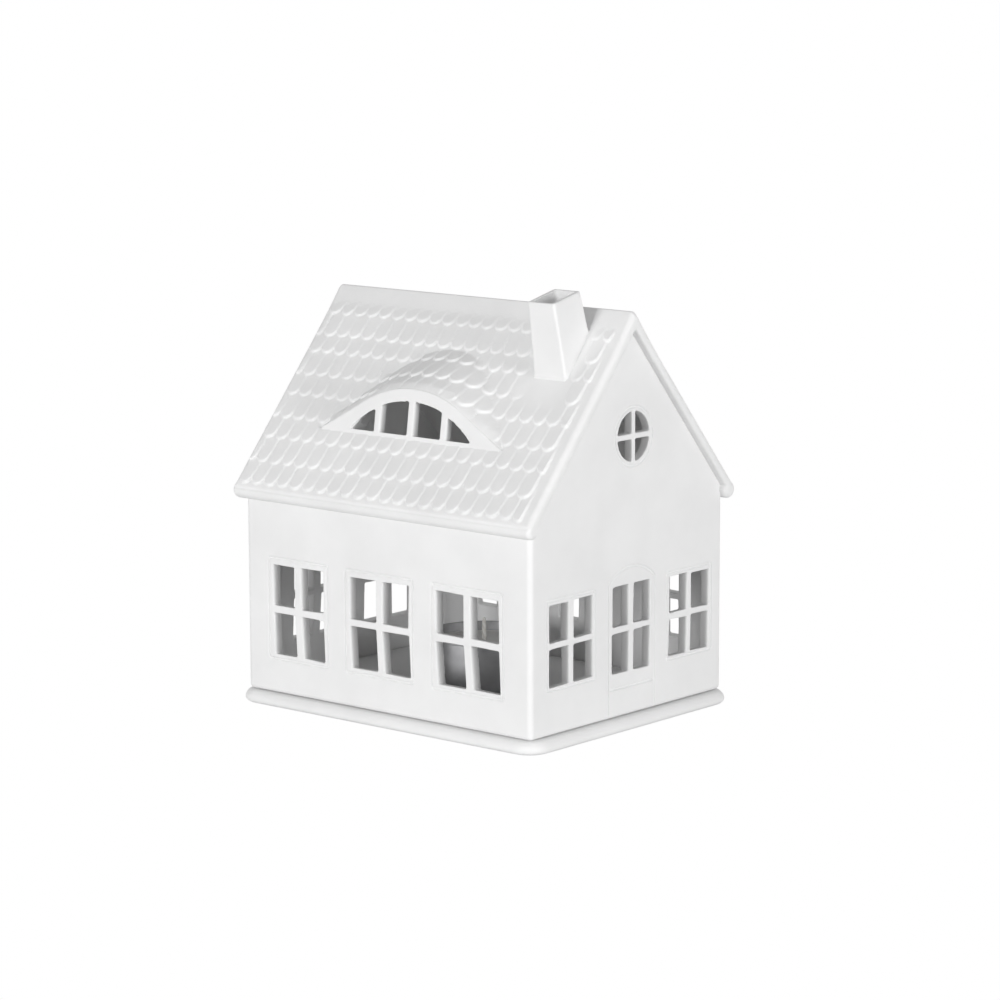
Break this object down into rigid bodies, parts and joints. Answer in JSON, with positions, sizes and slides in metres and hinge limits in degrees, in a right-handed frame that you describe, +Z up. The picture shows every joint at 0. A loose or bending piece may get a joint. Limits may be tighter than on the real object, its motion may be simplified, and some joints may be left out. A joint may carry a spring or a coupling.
{
  "type": "tealight house",
  "caption": "White bisque porcelain house that lifts off its base plate to cover a tealight and let its light out through the windows.",
  "frame": {"origin": "centre of the base plate's underside, which is the middle of the whole object's footprint", "axes": "+Z up. The ridge runs along X. The front with three windows, the dormer and the chimney faces -Y, and the gable with the door faces +X."},
  "size_m": [0.1264, 0.1044, 0.1386],
  "materials": {
    "porcelain": "matte",
    "aluminium": "satin",
    "wax": "satin",
    "cotton": "matte",
    "tinned_steel": "satin"
  },
  "bodies": {
    "plate": {"base_plate": "porcelain"},
    "house": {"front_wall": "porcelain", "back_wall": "porcelain", "door_gable": "porcelain", "far_gable": "porcelain", "roof_front": "porcelain", "roof_back": "porcelain", "dormer_hood": "porcelain", "dormer_window": "porcelain", "chimney": "porcelain"},
    "tealight": {"tealight_cup": "aluminium", "tealight_wax": "wax", "tealight_wick": "cotton", "wick_tab": "tinned_steel"}
  },
  "joints": [
    {"name": "house_lift", "type": "slide", "parent": "plate", "child": "house", "axis": [0, 0, 1], "range_m": [0, 0.12]},
    {"name": "tealight_lift", "type": "slide", "parent": "plate", "child": "tealight", "axis": [0, 0, 1], "range_m": [0, 0.04]}
  ]
}
